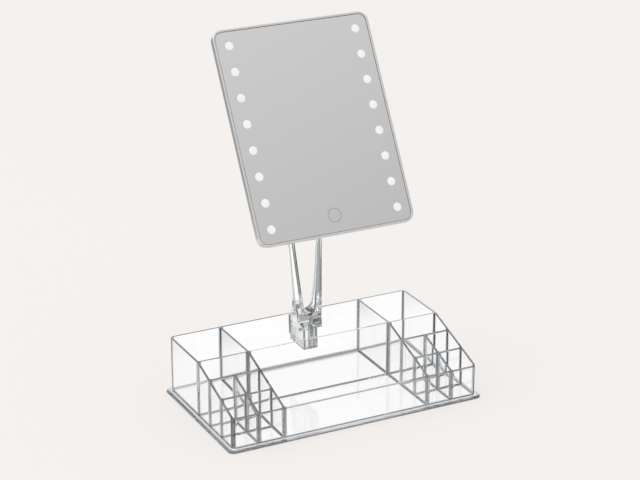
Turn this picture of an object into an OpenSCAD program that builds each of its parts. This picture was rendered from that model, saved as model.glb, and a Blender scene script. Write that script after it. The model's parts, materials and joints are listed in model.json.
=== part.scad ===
// Desk organizer with a lit mirror on a forked neck. Millimetres, +Z up, front towards -Y.
// The origin is the middle of the base plate's underside.

/* [Organizer] */
// Width across the two end walls
tray_w = 274.4; // [240:0.2:320]
// Depth from the back wall to the front wall
tray_d = 153.4; // [140:0.2:180]
// Height of the rear half above the base plate
rear_h = 59; // [50:1:75]
// Height of the front wall above the base plate
front_h = 31.4; // [25:0.2:42]
// Thickness of every upright wall
wall_t = 2.5; // [2:0.1:3.2]
// Radius of the four outer upright corners
corner_r = 1.2; // [1:0.1:3]
// Width of one lipstick cell with one of its walls
cell_w = 27.7; // [22:0.1:30]
// Depth of one lipstick cell with one of its walls
cell_d = 27.6; // [22:0.1:29]
// Thickness of the base plate
base_t = 3; // [2:0.5:5]
// How far the base plate stands out past the walls
base_lip = 4.8; // [2:0.2:8]
// Corner radius of the base plate
base_r = 3; // [2:0.5:12]

/* [Socket] */
// Width of the block that holds the neck
socket_w = 16; // [15:0.5:20]
// Depth of the block, front to back
socket_d = 31.5; // [28:0.5:36]
// Height of the block below the rim
socket_h = 22; // [16:1:30]
// Gap between the block and the back wall
socket_gap = 14.5; // [8:0.5:16]
// Thickness of the rib that joins the block to the back wall
rib_t = 4; // [3:0.5:8]
// Wall of the block round the neck's tongue
socket_wall = 2.2; // [1.6:0.1:3]
// Floor of the block under the neck's tongue
socket_floor = 2.5; // [2:0.5:4]

/* [Neck] */
// Width of the foot at its front
foot_w = 26.6; // [22:0.2:32]
// Width of the foot at its back
foot_back_w = 16.6; // [14:0.2:20]
// Depth of the foot, front to back
foot_d = 33; // [30:0.5:38]
// Height of the collar that rests on the socket
collar_h = 5.8; // [4:0.2:8]
// Height of the tilt axis above the rim
hinge_h = 212; // [190:1:240]
// Backward lean of the rails
neck_lean = 6; // [3:0.5:8]
// Outward lean of each rail
neck_spread = 2.9; // [2:0.1:4]
// Height above the rim over which the rails bend into their lean
bend_h = 38; // [30:1:50]
// Depth of the rails where the foot flares
root_depth = 9; // [7:0.5:11]
// Depth of the rails at the tilt axis
rail_depth = 5.5; // [4.5:0.1:7]
// Width of the rails in their upper part
rail_w = 4.9; // [4:0.1:6]
// Height above the rim from where the rails keep their width
rail_even_h = 92; // [80:1:110]
// Radius of the slot's round bottom
slot_r = 6; // [4:0.5:8]
// Height of the slot's bottom above the rim
slot_base_h = 16.5; // [14:0.5:22]

/* [Hinge] */
// Radius of the two ears round the tilt axis
ear_r = 7.5; // [6:0.5:8.5]
// Thickness of one ear
ear_t = 5.2; // [4.5:0.1:6.5]
// Radius of the bolt
bolt_r = 2.5; // [2:0.1:3]
// Radius of the barrel on the bracket
barrel_r = 6.5; // [5.5:0.5:7.5]
// Thickness of one friction washer
washer_t = 0.6; // [0.4:0.1:1]
// Distance of the tilt axis behind the raised housing
hinge_reach = 11.2; // [11:0.1:15]
// Height of the tilt axis above the middle of the head
hinge_up = 8; // [4:0.5:10]
// Height of the bracket's base
bracket_h = 32; // [30:0.5:34]
// Thickness of the bracket's base
bracket_t = 2.5; // [2:0.1:3]

/* [Mirror head] */
// Width of the head
head_w = 171.5; // [155:0.5:200]
// Height of the head
head_h = 219; // [210:1:250]
// Corner radius of the head
head_r = 10.5; // [8:0.5:14]
// Lean of the head, back from upright
head_lean = 29.8; // [5:0.1:45]
// Width of the frame's rim round the glass
rim_w = 2.2; // [1.6:0.1:3.5]
// Depth of the glass below the rim
glass_drop = 1; // [0.4:0.1:1.5]
// Thickness of the glass
glass_t = 2; // [1.5:0.1:3]
// Width of the ledge behind the glass
ledge_w = 3; // [2:0.5:4]
// Thickness of the inner tray behind the lights
inner_t = 1.2; // [1:0.1:2]
// Thickness of the back cover
cover_t = 1.6; // [1.4:0.1:2.4]

/* [Lights] */
// Number of lights in each column
light_rows = 8; // [4:1:8]
// Distance from one light to the next
light_pitch = 26.5; // [20:0.5:27]
// Distance of the lights from the side of the head
light_inset = 16; // [14:0.5:24]
// Diameter of a light window
light_d = 8.8; // [6:0.1:10]
// Outer diameter of the touch ring
touch_d = 15; // [12:0.5:20]
// Line width of the touch ring
touch_line = 1.2; // [0.6:0.1:2]
// Height of the touch ring above the bottom of the head
touch_up = 19.7; // [16:0.1:26]
// Thickness of the circuit boards
board_t = 1; // [0.8:0.1:1.6]
// Width of a light strip
strip_w = 8; // [6:0.5:10]
// Side of a light chip
chip_w = 3; // [2:0.5:4]
// Height of a light chip
chip_t = 0.8; // [0.5:0.1:1]

/* [Battery] */
// Diameter of one cell
aa_d = 14.5; // [14:0.1:15]
// Length of one cell with its pip
aa_len = 50.5; // [49:0.5:52]
// Number of cells side by side
aa_count = 4; // [2:1:4]
// Width of the raised housing
housing_w = 92; // [88:1:120]
// Corner radius of the raised housing
housing_r = 14; // [8:1:18]
// Edge bevel of the raised housing
housing_bevel = 4; // [2:0.5:5]
// Thickness of the battery door
door_t = 2; // [1.6:0.1:2.6]
// Width of the door's lips, which run in grooves
door_lip = 1.2; // [0.8:0.1:1.6]

/* [Hidden] */
$fn = 64;

// Colours
clear = [0.93, 0.95, 0.96, 0.45];
silver = [0.72, 0.73, 0.74];
satin_grey = [0.80, 0.81, 0.82];
steel = [0.62, 0.63, 0.65];

// Clearances
gap = 0.3;          // between pieces that slide or lie loose
fit = 0.05;         // round pieces in their holes
washer_r = barrel_r - 0.8;

// Organizer
front_y = -tray_d / 2;
back_y = tray_d / 2;
cell_rows = 3;
slope_y = front_y + cell_rows * cell_d;     // front face of the first cross wall
inner_x = tray_w / 2 - 2 * cell_w;          // outer face of an inner wall
rim_z = base_t + rear_h;
corner = min(corner_r, wall_t - 0.1);

// Socket, from the back wall forwards
socket_back = back_y - wall_t - socket_gap;
socket_front = socket_back - socket_d;
tongue_w = socket_w - 2 * socket_wall - 2 * gap;
tongue_d = socket_d - 2 * socket_wall - 2 * gap;
tongue_h = socket_h - socket_floor - gap;

// Neck, in its own frame: y from the foot's front, z from the rim
foot_y = (socket_front + socket_back - foot_d) / 2 + 1;
rail_y = 1;                                 // the rails start this far behind the foot's front
steps = 12;
ear_out = foot_w / 2 + hinge_h * tan(neck_spread);
ear_in = ear_out - ear_t;
slot_z = slot_base_h + slot_r;              // middle of the slot's round bottom
root_y = rail_front(bend_h) + root_depth;

// Stack of the head, as depths behind the rim's face
glass_back = glass_drop + glass_t;
strip_front = glass_back + chip_t + 0.2;
inner_front = strip_front + board_t;
inner_back = inner_front + inner_t;
cover_back = inner_back + cover_t;
cell_axis = inner_back + gap + aa_d / 2;
door_front = inner_back + aa_d + 2 * gap + 0.1;
housing_back = door_front + door_t;
axis_depth = housing_back + hinge_reach;

// Tilt axis, and the middle of the head's face that hangs on it
hinge_y = foot_y + rail_front(hinge_h) + rail_depth / 2;
hinge_z = rim_z + hinge_h;
head_y = hinge_y - hinge_up * sin(head_lean) - axis_depth * cos(head_lean);
head_z = hinge_z - hinge_up * cos(head_lean) + axis_depth * sin(head_lean);

// Head, in its own frame: y up the face, z out of it
light_x = head_w / 2 - light_inset;
light_ys = [for (i = [0 : light_rows - 1]) (i - (light_rows - 1) / 2) * light_pitch];
strip_l = (light_rows - 1) * light_pitch + 14;
touch_y = touch_up - head_h / 2;
boss_r = 4;
boss_x = head_w / 2 - rim_w - boss_r;
boss_y = head_h / 2 - rim_w - boss_r;
screw_r = 1.25;
screw_head_r = 2.7;
screw_head_t = 0.9;
screw_end = 0.4;                            // from the glass to a cover screw's end
flange_r = 2.4;                             // heads of the bracket screws
flange_t = 1.2;
flange_grip = 2;                            // their length inside the housing
cross_l = 2.5;
cross_w = 0.7;

// Battery bay, above the bracket
bay_wall = 1.2;
cell_pitch = aa_d + 0.7;
bay_w = aa_count * cell_pitch + 2 * bay_wall;
contact_room = 2;
bay_l = aa_len + 2 * contact_room + 2 * bay_wall;
bay_y = hinge_up + bracket_h / 2 + 4.5;     // lower end of the bay
door_w = bay_w + 3;
door_y = bay_y - 1.5;                       // lower edge of the door
lip_t = 0.8;
grip_w = 22;                                // finger ribs on the door
grip_t = 1.2;
grip_pitch = 3;

// Bracket
bracket_w = 2 * (ear_in - washer_t - 2 * fit);
bracket_screw_x = bracket_w / 2 - 5.5;
bracket_screw_y = bracket_h / 2 - 3.5;

// Control board
board_w = 40;
board_h = 22;
board_y = hinge_up - bracket_h / 2 - board_h / 2;
post_h = 2;
wire_r = 0.6;
wire_out = 18;
wire_x = board_w / 2 + wire_out;            // where a light's wire goes through the inner tray
wire_y = board_y - board_h / 2 - 1;         // where the sensor's wire goes through it
wire_front = (glass_back + inner_front) / 2;
wire_back = inner_back + post_h + board_t / 2;

// Raised housing, round the bay at its upper end and the control board at its lower end
housing_wall = 2.2;
housing_top = bay_y + bay_l + housing_wall + housing_bevel + gap;
housing_low = wire_y - wire_r - gap - housing_wall;
housing_h = housing_top - housing_low;
housing_mid = (housing_top + housing_low) / 2;

// Height of the walls' top edge above the base plate
function top_at(y) = y >= slope_y ? rear_h
    : rear_h - (rear_h - front_h) * (slope_y - y) / (slope_y - front_y);

// Front face of the first, second and third cross wall
function cross_y(row) = slope_y - (row - 1) * cell_d;

// Front face of the rails, bent and then straight
function rail_front(z) = rail_y + tan(neck_lean)
    * (z < bend_h ? z * z / (2 * bend_h) : z - bend_h / 2);

// Depth of the rails above the bend
function rail_deep(z) = rail_depth
    + (root_depth - rail_depth) * pow((hinge_h - z) / (hinge_h - bend_h), 3);

// Half the neck's width
function half_w(z) = foot_w / 2 + z * tan(neck_spread);

// A point on the curve from a to c that is drawn towards b
function bow(a, b, c, t) = a * (1 - t) * (1 - t) + b * 2 * t * (1 - t) + c * t * t;

module round_rect(w, h, r) {
    square([w - 2 * r, h], center = true);
    square([w, h - 2 * r], center = true);
    for (x = [-1, 1], y = [-1, 1])
        translate([x * (w / 2 - r), y * (h / 2 - r)]) circle(r);
}

// A wall along Y whose top follows the slope
module slope_wall(x, y0, y1) {
    translate([x, 0, base_t]) rotate([90, 0, 90]) linear_extrude(wall_t)
        polygon([[y0, 0], [y1, 0], [y1, rear_h], [slope_y, rear_h], [y0, top_at(y0)]]);
}

module box_wall(x0, x1, y0, h) {
    translate([x0, y0, base_t]) cube([x1 - x0, wall_t, h]);
}

// What the round outer corner at the point [x, y] takes off
module corner_cut(x, y) {
    translate([x, y, 0]) linear_extrude(rim_z + 1) difference() {
        translate([x > 0 ? -corner : -1, y > 0 ? -corner : -1]) square(corner + 1);
        translate([-sign(x) * corner, -sign(y) * corner]) circle(corner);
    }
}

module base_plate() {
    color(clear) linear_extrude(base_t)
        round_rect(tray_w + 2 * base_lip, tray_d + 2 * base_lip, base_r);
}

module back_wall() {
    color(clear) box_wall(wall_t - tray_w / 2, tray_w / 2 - wall_t, back_y - wall_t, rear_h);
}

module front_wall() {
    color(clear) box_wall(wall_t - tray_w / 2, tray_w / 2 - wall_t, front_y, front_h);
}

// side is -1 on the left and 1 on the right
module end_wall(side) {
    color(clear) difference() {
        slope_wall(side > 0 ? tray_w / 2 - wall_t : -tray_w / 2, front_y, back_y);
        corner_cut(side * tray_w / 2, front_y);
        corner_cut(side * tray_w / 2, back_y);
    }
}

module inner_wall(side) {
    color(clear)
        slope_wall(side > 0 ? inner_x - wall_t : -inner_x, front_y + wall_t, back_y - wall_t);
}

module middle_cross_wall() {
    color(clear) box_wall(wall_t - inner_x, inner_x - wall_t, slope_y, rear_h);
}

// row counts from the back
module cross_wall(side, row) {
    outer = tray_w / 2 - wall_t;
    color(clear) box_wall(side > 0 ? inner_x : -outer, side > 0 ? outer : -inner_x,
        cross_y(row), top_at(cross_y(row)));
}

// The lengthwise wall between the lipstick cells, in one length for each row of cells
module cell_walls(side) {
    x = inner_x + cell_w;
    color(clear) for (row = [3, 4]) {
        y0 = row == 3 ? cross_y(3) + wall_t : front_y + wall_t;
        slope_piece(side > 0 ? x - wall_t : -x, y0, cross_y(row - 1));
    }
}

module slope_piece(x, y0, y1) {
    translate([x, 0, base_t]) rotate([90, 0, 90]) linear_extrude(wall_t)
        polygon([[y0, 0], [y1, 0], [y1, top_at(y1)], [y0, top_at(y0)]]);
}

// The block hangs from the back wall by a rib and is open at its top
module neck_socket() {
    color(clear) difference() {
        union() {
            translate([-socket_w / 2, socket_front, rim_z - socket_h])
                cube([socket_w, socket_d, socket_h]);
            translate([-rib_t / 2, socket_back - 1, rim_z - socket_h])
                cube([rib_t, socket_gap + 1, socket_h]);
        }
        translate([-socket_w / 2 + socket_wall, socket_front + socket_wall,
                rim_z - socket_h + socket_floor])
            cube([socket_w - 2 * socket_wall, socket_d - 2 * socket_wall, socket_h]);
    }
}

// Outline of the rails and the flared foot, seen from the side
module neck_side() {
    top = [for (i = [0 : steps]) bend_h + (hinge_h - bend_h) * i / steps];
    low = [for (i = [0 : steps]) bend_h * i / steps];
    foot = [foot_d, collar_h];
    pull = [rail_front(bend_h) + root_depth + 1, collar_h + 6];
    rotate([90, 0, 90]) linear_extrude(2 * ear_out + 20, center = true)
        polygon(concat(
            [for (z = low) [rail_front(z), z]],
            [[rail_front(hinge_h), hinge_h]],
            [for (i = [steps : -1 : 0]) [rail_front(top[i]) + rail_deep(top[i]), top[i]]],
            [for (i = [1 : steps]) bow([root_y, bend_h], pull, foot, i / steps)],
            [[foot_d, 0]]));
}

// Outline of the two rails, seen from the front
module neck_front() {
    rotate([90, 0, 0]) linear_extrude(4 * foot_d, center = true)
        polygon([[-half_w(0), 0], [half_w(0), 0],
            [half_w(hinge_h), hinge_h], [-half_w(hinge_h), hinge_h]]);
}

// The slot between the rails, seen from the front
module neck_slot() {
    even = half_w(rail_even_h) - rail_w;
    over = hinge_h + 2 * ear_r;
    rotate([90, 0, 0]) linear_extrude(4 * foot_d, center = true) {
        translate([0, slot_z]) circle(slot_r);
        polygon([[-slot_r, slot_z], [slot_r, slot_z],
            [even, rail_even_h], [half_w(over) - rail_w, over],
            [rail_w - half_w(over), over], [-even, rail_even_h]]);
    }
}

// The foot narrows towards the back, below the bend
module foot_plan() {
    wide = half_w(bend_h) + 1;
    polygon([[-wide, 0], [wide, 0], [wide, root_y], [half_w(bend_h), root_y],
        [foot_back_w / 2, foot_d], [-foot_back_w / 2, foot_d],
        [-half_w(bend_h), root_y], [-wide, root_y]]);
}

// The collar has the same sides, which run straight where the foot is at its widest
module collar_plan() {
    share = (half_w(bend_h) - foot_w / 2) / (half_w(bend_h) - foot_back_w / 2);
    y = root_y + (foot_d - root_y) * share;
    polygon([[-foot_w / 2, 0], [foot_w / 2, 0], [foot_w / 2, y],
        [foot_back_w / 2, foot_d], [-foot_back_w / 2, foot_d], [-foot_w / 2, y]]);
}

module neck() {
    color(clear) translate([0, foot_y, rim_z]) difference() {
        union() {
            difference() {
                intersection() {
                    neck_side();
                    neck_front();
                    union() {
                        linear_extrude(bend_h) foot_plan();
                        translate([-2 * ear_out, 0, bend_h])
                            cube([4 * ear_out, 4 * foot_d, hinge_h]);
                    }
                }
                neck_slot();
            }
            linear_extrude(collar_h) collar_plan();
            for (side = [-1, 1])
                translate([side * (ear_in + ear_t / 2), hinge_y - foot_y, hinge_h])
                    rotate([0, 90, 0]) cylinder(h = ear_t, r = ear_r, center = true);
            translate([-tongue_w / 2, socket_front - foot_y + socket_wall + gap, -tongue_h])
                cube([tongue_w, tongue_d, tongue_h + 1]);
        }
        translate([0, hinge_y - foot_y, hinge_h]) rotate([0, 90, 0])
            cylinder(h = 4 * ear_out, r = bolt_r + fit, center = true);
    }
}

// Places its children on the tilt axis, with their z along it
module on_axis(x) {
    translate([x, hinge_y, hinge_z]) rotate([0, 90, 0]) children();
}

module hinge_bolt() {
    color(steel) {
        on_axis(-ear_out - 0.5) cylinder(h = 2 * ear_out + 3.5, r = bolt_r);
        on_axis(-ear_out - 3) difference() {
            cylinder(h = 3, r = 2 * bolt_r);
            translate([0, 0, -1]) cylinder(h = 2.8, r = bolt_r * 0.7, $fn = 6);
        }
    }
}

module hinge_nut() {
    color(steel) on_axis(ear_out) difference() {
        union() {
            cylinder(h = 2.4, r = 2 * bolt_r, $fn = 6);
            cylinder(h = 3.6, r = 1.6 * bolt_r);
        }
        translate([0, 0, -1]) cylinder(h = 4.1, r = bolt_r + fit);
    }
}

module friction_washers() {
    color("white") for (x = [-ear_in, ear_in - washer_t]) on_axis(x) difference() {
        cylinder(h = washer_t, r = washer_r);
        translate([0, 0, -1]) cylinder(h = washer_t + 2, r = bolt_r + fit);
    }
}

// Places its children on the head: y up the face, z out of it
module on_head() {
    translate([0, head_y, head_z]) rotate([90 - head_lean, 0, 0]) children();
}

// A layer of the head between two depths behind the rim
module layer(from, to) {
    translate([0, 0, -to]) linear_extrude(to - from) children();
}

module head_outline(inset) {
    round_rect(head_w - 2 * inset, head_h - 2 * inset, head_r - inset);
}

module at_bosses() {
    for (x = [-1, 1], y = [-1, 1]) translate([x * boss_x, y * boss_y]) children();
}

module head_frame() {
    color(silver) on_head() difference() {
        union() {
            layer(0, inner_back) difference() {
                head_outline(0);
                head_outline(rim_w);
            }
            layer(glass_back, inner_front) difference() {
                head_outline(rim_w / 2);
                head_outline(rim_w + ledge_w);
            }
            layer(glass_back, inner_back) at_bosses() circle(boss_r + 0.2);
        }
        layer(glass_back - 1, inner_back + 1) at_bosses() circle(screw_r + fit);
    }
}

module at_lights() {
    for (x = [-1, 1], y = light_ys) translate([x * light_x, y]) children();
}

module mirror_glass() {
    color([0.78, 0.79, 0.80]) on_head() difference() {
        layer(glass_drop, glass_back) difference() {
            head_outline(rim_w + 0.1);
            at_lights() circle(d = light_d + 2 * fit);
        }
        layer(glass_drop - 1, glass_drop + 0.2) translate([0, touch_y]) difference() {
            circle(d = touch_d);
            circle(d = touch_d - 2 * touch_line);
        }
    }
}

module light_windows() {
    color("white") on_head() layer(glass_drop, glass_back) at_lights() circle(d = light_d);
}

module touch_ring() {
    color([0.62, 0.63, 0.64]) on_head()
        layer(glass_drop, glass_drop + 0.2) translate([0, touch_y]) difference() {
            circle(d = touch_d);
            circle(d = touch_d - 2 * touch_line);
        }
}

module touch_sensor() {
    color("seagreen") on_head()
        layer(glass_back, glass_back + board_t) translate([0, touch_y]) circle(d = touch_d + 1);
}

module light_strip(side) {
    color("ivory") on_head() layer(strip_front, inner_front)
        translate([side * light_x, 0]) square([strip_w, strip_l], center = true);
}

module light_chips() {
    color("gold") on_head()
        layer(strip_front - chip_t, strip_front) at_lights() square(chip_w, center = true);
}

module inner_tray() {
    color("white") on_head() {
        layer(inner_front, inner_back) difference() {
            head_outline(rim_w + 0.2);
            at_bosses() circle(boss_r + 0.5);
            for (x = [-1, 1]) translate([x * wire_x, board_y]) circle(wire_r + gap);
            translate([0, wire_y]) circle(wire_r + gap);
        }
        layer(inner_back - 0.5, inner_back + post_h) for (x = [-1, 1], y = [-1, 1])
            translate([x * (board_w / 2 - 3), board_y + y * (board_h / 2 - 3)]) circle(2);
    }
}

module control_board() {
    front = inner_back + post_h;
    color("seagreen") on_head() {
        layer(front, front + board_t) translate([0, board_y])
            square([board_w, board_h], center = true);
        layer(front + board_t - 0.1, front + board_t + 1.4) translate([-6, board_y])
            square([7, 7], center = true);
        layer(front + board_t - 0.1, front + board_t + 5) translate([8, board_y]) circle(3.2);
    }
}

// A straight length of wire with round ends
module wire(from, to) {
    v = to - from;
    translate(from) rotate([0, acos(v.z / norm(v)), atan2(v.y, v.x)]) cylinder(h = norm(v), r = wire_r);
    for (p = [from, to]) translate(p) sphere(wire_r);
}

module lead_wires() {
    sensor_top = touch_y + touch_d / 2 + 1.5;
    color("firebrick") on_head() {
        for (side = [-1, 1]) {
            wire([side * (light_x - strip_w / 2 - wire_r), board_y, -wire_front],
                [side * wire_x, board_y, -wire_front]);
            wire([side * wire_x, board_y, -wire_front], [side * wire_x, board_y, -wire_back]);
            wire([side * wire_x, board_y, -wire_back],
                [side * (board_w / 2 + wire_r), board_y, -wire_back]);
            wire([side * 10, board_y + board_h / 2 + wire_r, -wire_back],
                [side * 10, bay_y - wire_r, -wire_back]);
        }
        wire([0, wire_y, -wire_back], [0, wire_y, -wire_front]);
        wire([0, wire_y, -wire_front], [0, sensor_top, -wire_front]);
    }
}

// Middle of each cell across the head
function cell_x(i) = (i - (aa_count - 1) / 2) * cell_pitch;

module battery_bay() {
    mid = bay_y + bay_l / 2;
    color("dimgray") on_head() {
        layer(inner_back, door_front - gap) translate([0, mid]) difference() {
            square([bay_w, bay_l], center = true);
            square([bay_w - 2 * bay_wall, bay_l - 2 * bay_wall], center = true);
        }
    }
}

module battery_contacts() {
    first = bay_y + bay_wall;
    last = bay_y + bay_l - bay_wall;
    color(steel) on_head() for (i = [0 : aa_count - 1]) translate([cell_x(i), 0, -cell_axis]) {
        translate([-5, first, -5]) cube([10, 0.5, 10]);
        translate([-5, last - 0.5, -5]) cube([10, 0.5, 10]);
        translate([0, first + 0.4, 0]) rotate([-90, 0, 0]) cylinder(h = contact_room - 0.6, r = 3);
        translate([0, last - 0.4, 0]) rotate([90, 0, 0]) cylinder(h = contact_room - 0.6, r = 3);
    }
}

// Every second cell is turned end for end
module battery_cells() {
    pip = 1;
    color("darkgoldenrod") on_head() for (i = [0 : aa_count - 1])
        translate([cell_x(i), bay_y + bay_l / 2, -cell_axis])
            rotate([i % 2 == 0 ? -90 : 90, 0, 0]) translate([0, 0, -aa_len / 2]) {
                cylinder(h = aa_len - pip, d = aa_d);
                cylinder(h = aa_len, r = 2.7);
            }
}

// The raised housing with its bevelled edge, smaller all round by inset
module housing(inset, from, to) {
    w = housing_w - 2 * inset;
    h = housing_h - 2 * inset;
    r = housing_r - inset;
    translate([0, housing_mid, 0]) hull() {
        layer(from, to - housing_bevel) round_rect(w, h, r, $fn = 32);
        layer(to - 0.5, to) round_rect(w - 2 * housing_bevel, h - 2 * housing_bevel,
            max(r - housing_bevel, 1), $fn = 32);
    }
}

// Space of the door and its two lips, larger by grow at the sides and the lower edge
module door_space(grow) {
    wide = door_w + 2 * door_lip + 2 * grow;
    translate([-door_w / 2 - grow, door_y - grow, -housing_back - 1])
        cube([door_w + 2 * grow, housing_h, door_t + 1]);
    translate([-wide / 2, door_y - grow, -door_front - lip_t - grow / 3])
        cube([wide, housing_h, lip_t + grow / 3]);
}

module back_cover() {
    color(satin_grey) on_head() difference() {
        union() {
            layer(inner_back, cover_back) head_outline(0.5);
            housing(0, inner_back, housing_back);
        }
        housing(2.2, inner_back - 1, door_front);
        door_space(gap);
        layer(inner_back - 1, cover_back + 1) at_bosses() circle(screw_r + gap);
        layer(cover_back - screw_head_t - 0.1, cover_back + 1) at_bosses()
            circle(screw_head_r + 0.1);
        layer(door_front - 1, housing_back + 1) at_bracket_screws() circle(screw_r + fit);
    }
}

module cross() {
    square([cross_l, cross_w], center = true);
    square([cross_w, cross_l], center = true);
}

module back_screws() {
    color(steel) on_head() at_bosses() {
        layer(cover_back - screw_head_t, cover_back) difference() {
            circle(screw_head_r);
            cross();
        }
        layer(glass_back + screw_end, cover_back - screw_head_t) circle(screw_r);
    }
}

module at_bracket_screws() {
    for (x = [-1, 1], y = [-1, 1])
        translate([x * bracket_screw_x, hinge_up + y * bracket_screw_y]) children();
}

module hinge_bracket() {
    color(silver) on_head() difference() {
        union() {
            layer(housing_back, housing_back + bracket_t) difference() {
                translate([0, hinge_up]) round_rect(bracket_w, bracket_h, 3);
                at_bracket_screws() circle(screw_r + gap);
            }
            layer(housing_back, axis_depth)
                translate([0, hinge_up]) square([bracket_w, 1.6 * barrel_r], center = true);
            translate([0, hinge_up, -axis_depth]) rotate([0, 90, 0])
                cylinder(h = bracket_w, r = barrel_r, center = true);
        }
        translate([0, hinge_up, -axis_depth]) rotate([0, 90, 0])
            cylinder(h = bracket_w + 2, r = bolt_r + fit, center = true);
    }
}

module bracket_screws() {
    back = housing_back + bracket_t;
    color(steel) on_head() at_bracket_screws() {
        layer(back, back + flange_t) difference() {
            circle(flange_r);
            cross();
        }
        layer(door_front - flange_grip, back) circle(screw_r);
    }
}

// The door fills its space in the housing and carries finger ribs near its upper end
module battery_door() {
    top = housing_top - housing_bevel - 8;
    color(satin_grey) on_head() {
        intersection() {
            housing(0, inner_back, housing_back);
            door_space(0);
        }
        for (i = [0 : 3]) layer(housing_back - 0.2, housing_back + 0.6)
            translate([0, top - grip_pitch * i]) square([grip_w, grip_t], center = true);
    }
}

base_plate();
back_wall();
front_wall();
end_wall(-1);  // left_end_wall
end_wall(1);  // right_end_wall
inner_wall(-1);  // left_inner_wall
inner_wall(1);  // right_inner_wall
middle_cross_wall();
cross_wall(-1, 1);  // left_cross_wall_1
cross_wall(-1, 2);  // left_cross_wall_2
cross_wall(-1, 3);  // left_cross_wall_3
cross_wall(1, 1);  // right_cross_wall_1
cross_wall(1, 2);  // right_cross_wall_2
cross_wall(1, 3);  // right_cross_wall_3
cell_walls(-1);  // left_cell_walls
cell_walls(1);  // right_cell_walls
neck_socket();
neck();
hinge_bolt();
hinge_nut();
friction_washers();
head_frame();
mirror_glass();
light_windows();
touch_ring();
touch_sensor();
light_strip(-1);  // left_light_strip
light_strip(1);  // right_light_strip
light_chips();
inner_tray();
control_board();
lead_wires();
battery_bay();
battery_contacts();
battery_cells();
back_cover();
back_screws();
hinge_bracket();
bracket_screws();
battery_door();
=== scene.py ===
# Desk organizer of clear plastic, with a lit mirror on a forked neck
import json
import math

import bpy
from mathutils import Matrix, Vector


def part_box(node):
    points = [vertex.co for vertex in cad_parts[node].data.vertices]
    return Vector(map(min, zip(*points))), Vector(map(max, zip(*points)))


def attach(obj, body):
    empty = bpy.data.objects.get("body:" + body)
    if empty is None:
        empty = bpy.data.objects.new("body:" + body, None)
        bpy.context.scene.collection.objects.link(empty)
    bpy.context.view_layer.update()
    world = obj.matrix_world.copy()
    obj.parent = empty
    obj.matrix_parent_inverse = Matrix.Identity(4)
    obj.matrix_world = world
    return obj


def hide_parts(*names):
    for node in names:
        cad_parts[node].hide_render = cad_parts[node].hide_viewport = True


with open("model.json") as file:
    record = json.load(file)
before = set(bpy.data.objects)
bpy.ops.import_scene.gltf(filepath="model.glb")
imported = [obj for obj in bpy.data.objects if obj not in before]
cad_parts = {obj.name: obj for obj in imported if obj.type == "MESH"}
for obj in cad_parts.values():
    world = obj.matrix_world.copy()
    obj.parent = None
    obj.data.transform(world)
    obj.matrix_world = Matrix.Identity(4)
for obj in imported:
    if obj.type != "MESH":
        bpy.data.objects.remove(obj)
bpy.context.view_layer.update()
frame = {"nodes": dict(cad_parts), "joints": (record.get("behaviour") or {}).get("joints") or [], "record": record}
nodes = frame["nodes"]
mm = 0.001
hair = 0.01 * mm   # what lies nearer than this counts as one place
overlap = 1 * mm   # how far a shape that cuts or joins another reaches past the face it meets
crease = math.radians(35)  # edges that turn more are rounded, and the others are shaded smooth
print("frame loaded:", len(nodes), "solids")


# Helpers

def linear(hexText):  # an sRGB hex value as the linear colour that shaders take
    parts = [int(hexText[i:i + 2], 16) / 255 for i in (1, 3, 5)]
    return [p / 12.92 if p <= 0.04045 else ((p + 0.055) / 1.055) ** 2.4 for p in parts] + [1]


def addNode(tree, kind, values=None, links=None, **settings):
    node = tree.nodes.new(kind)
    for name, value in settings.items():
        setattr(node, name, value)
    for key, value in (values or {}).items():
        node.inputs[key].default_value = value
    for key, socket in (links or {}).items():
        tree.links.new(socket, node.inputs[key])
    return node


def startMaterial(name, values):
    material = bpy.data.materials.new(name)
    material.use_nodes = True
    tree = material.node_tree
    tree.nodes.clear()
    surface = addNode(tree, "ShaderNodeBsdfPrincipled", values)
    addNode(tree, "ShaderNodeOutputMaterial", links={"Surface": surface.outputs[0]})
    return material, tree, surface


def selectOnly(piece):
    for other in bpy.context.selected_objects:
        other.select_set(False)
    piece.select_set(True)
    bpy.context.view_layer.objects.active = piece


def pick(piece, kind, test):  # goes into edit mode with what passes the test selected
    selectOnly(piece)
    bpy.ops.object.mode_set(mode="EDIT")
    bpy.ops.mesh.select_mode(type=kind)
    bpy.ops.mesh.select_all(action="DESELECT")
    bpy.ops.object.mode_set(mode="OBJECT")
    mesh = piece.data
    if kind == "FACE":
        for face in mesh.polygons:
            face.select = test(face.center, face.normal)
    if kind == "EDGE":
        for edge in mesh.edges:
            edge.select = test(*(mesh.vertices[v].co for v in edge.vertices))
    bpy.ops.object.mode_set(mode="EDIT")


def backToObject(piece):
    bpy.ops.object.mode_set(mode="OBJECT")
    return piece


def upright(a, b):  # an edge that runs along Z
    return abs(a.z - b.z) > hair and (a.xy - b.xy).length < hair


def addBlock(name, low, high):
    middle = [(a + b) / 2 for a, b in zip(low, high)]
    bpy.ops.mesh.primitive_cube_add(size=1, location=middle)
    block = bpy.context.object
    block.name = name
    block.scale = [b - a for a, b in zip(low, high)]
    selectOnly(block)
    bpy.ops.object.transform_apply(location=True, rotation=True, scale=True)
    return block


def roundedSlab(name, low, high, radius, segments):  # a block with its four upright edges rounded
    slab = addBlock(name, low, high)
    pick(slab, "EDGE", upright)
    bpy.ops.mesh.bevel(offset=radius, segments=segments, profile=0.5, affect="EDGES")
    return backToObject(slab)


def addRod(name, x, y, low, high, radius, sides):
    bpy.ops.mesh.primitive_cylinder_add(vertices=sides, radius=radius, depth=high - low,
                                        location=(x, y, (low + high) / 2))
    rod = bpy.context.object
    rod.name = name
    selectOnly(rod)
    bpy.ops.object.transform_apply(location=True, rotation=True, scale=True)
    return rod


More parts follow.
